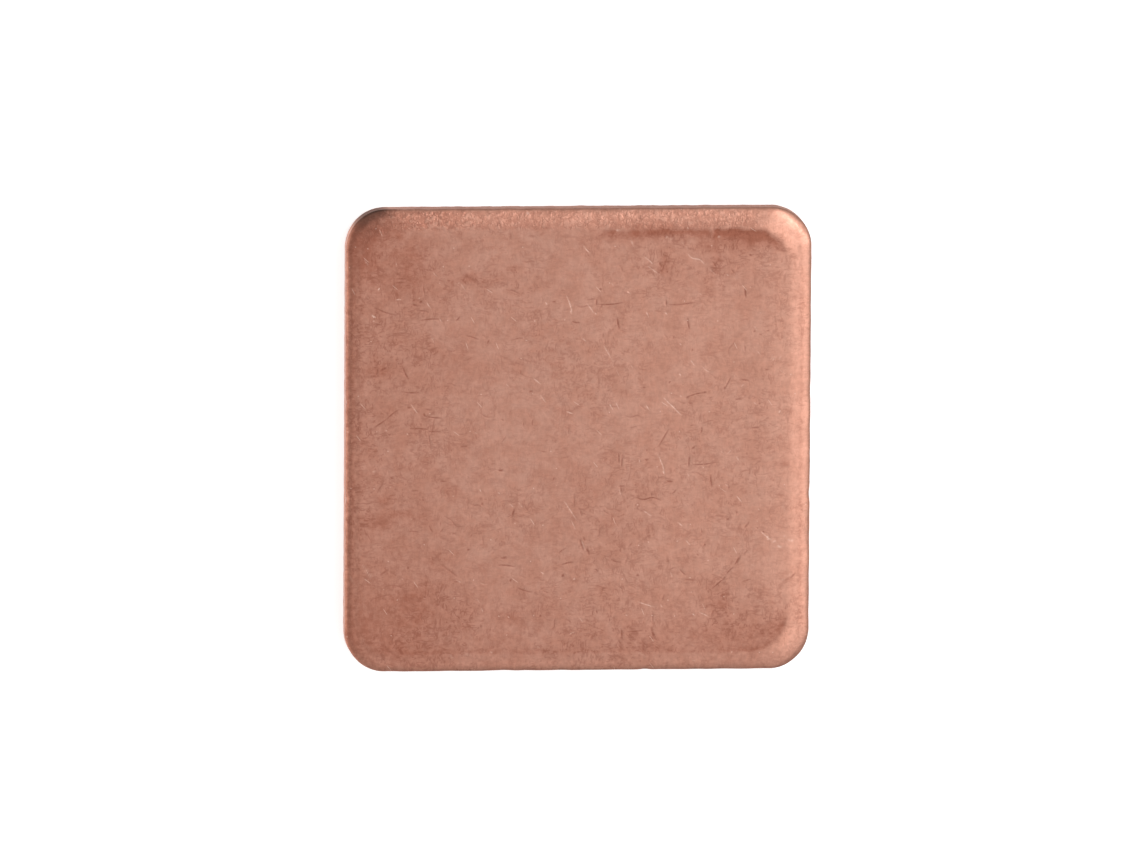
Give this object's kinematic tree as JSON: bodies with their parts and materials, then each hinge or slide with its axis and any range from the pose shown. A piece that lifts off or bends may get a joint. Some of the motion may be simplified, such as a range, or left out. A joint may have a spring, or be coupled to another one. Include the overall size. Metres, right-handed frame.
{
  "type": "copper sheet",
  "caption": "Small square copper sheet blank with rounded corners and a punched edge: rolled over on top, burnished and torn below, lightly tarnished and scratched.",
  "frame": {"origin": "centre of the underside, on the surface that the sheet lies on", "axes": "+Z through the thickness, from the underside to the rolled-over face; +X to the right and +Y to the back, along the sheet's sides"},
  "size_m": [0.015, 0.015, 0.0012],
  "materials": {
    "tarnished_copper": "satin"
  },
  "bodies": {
    "root": {"copper_sheet": "tarnished_copper"}
  },
  "joints": []
}
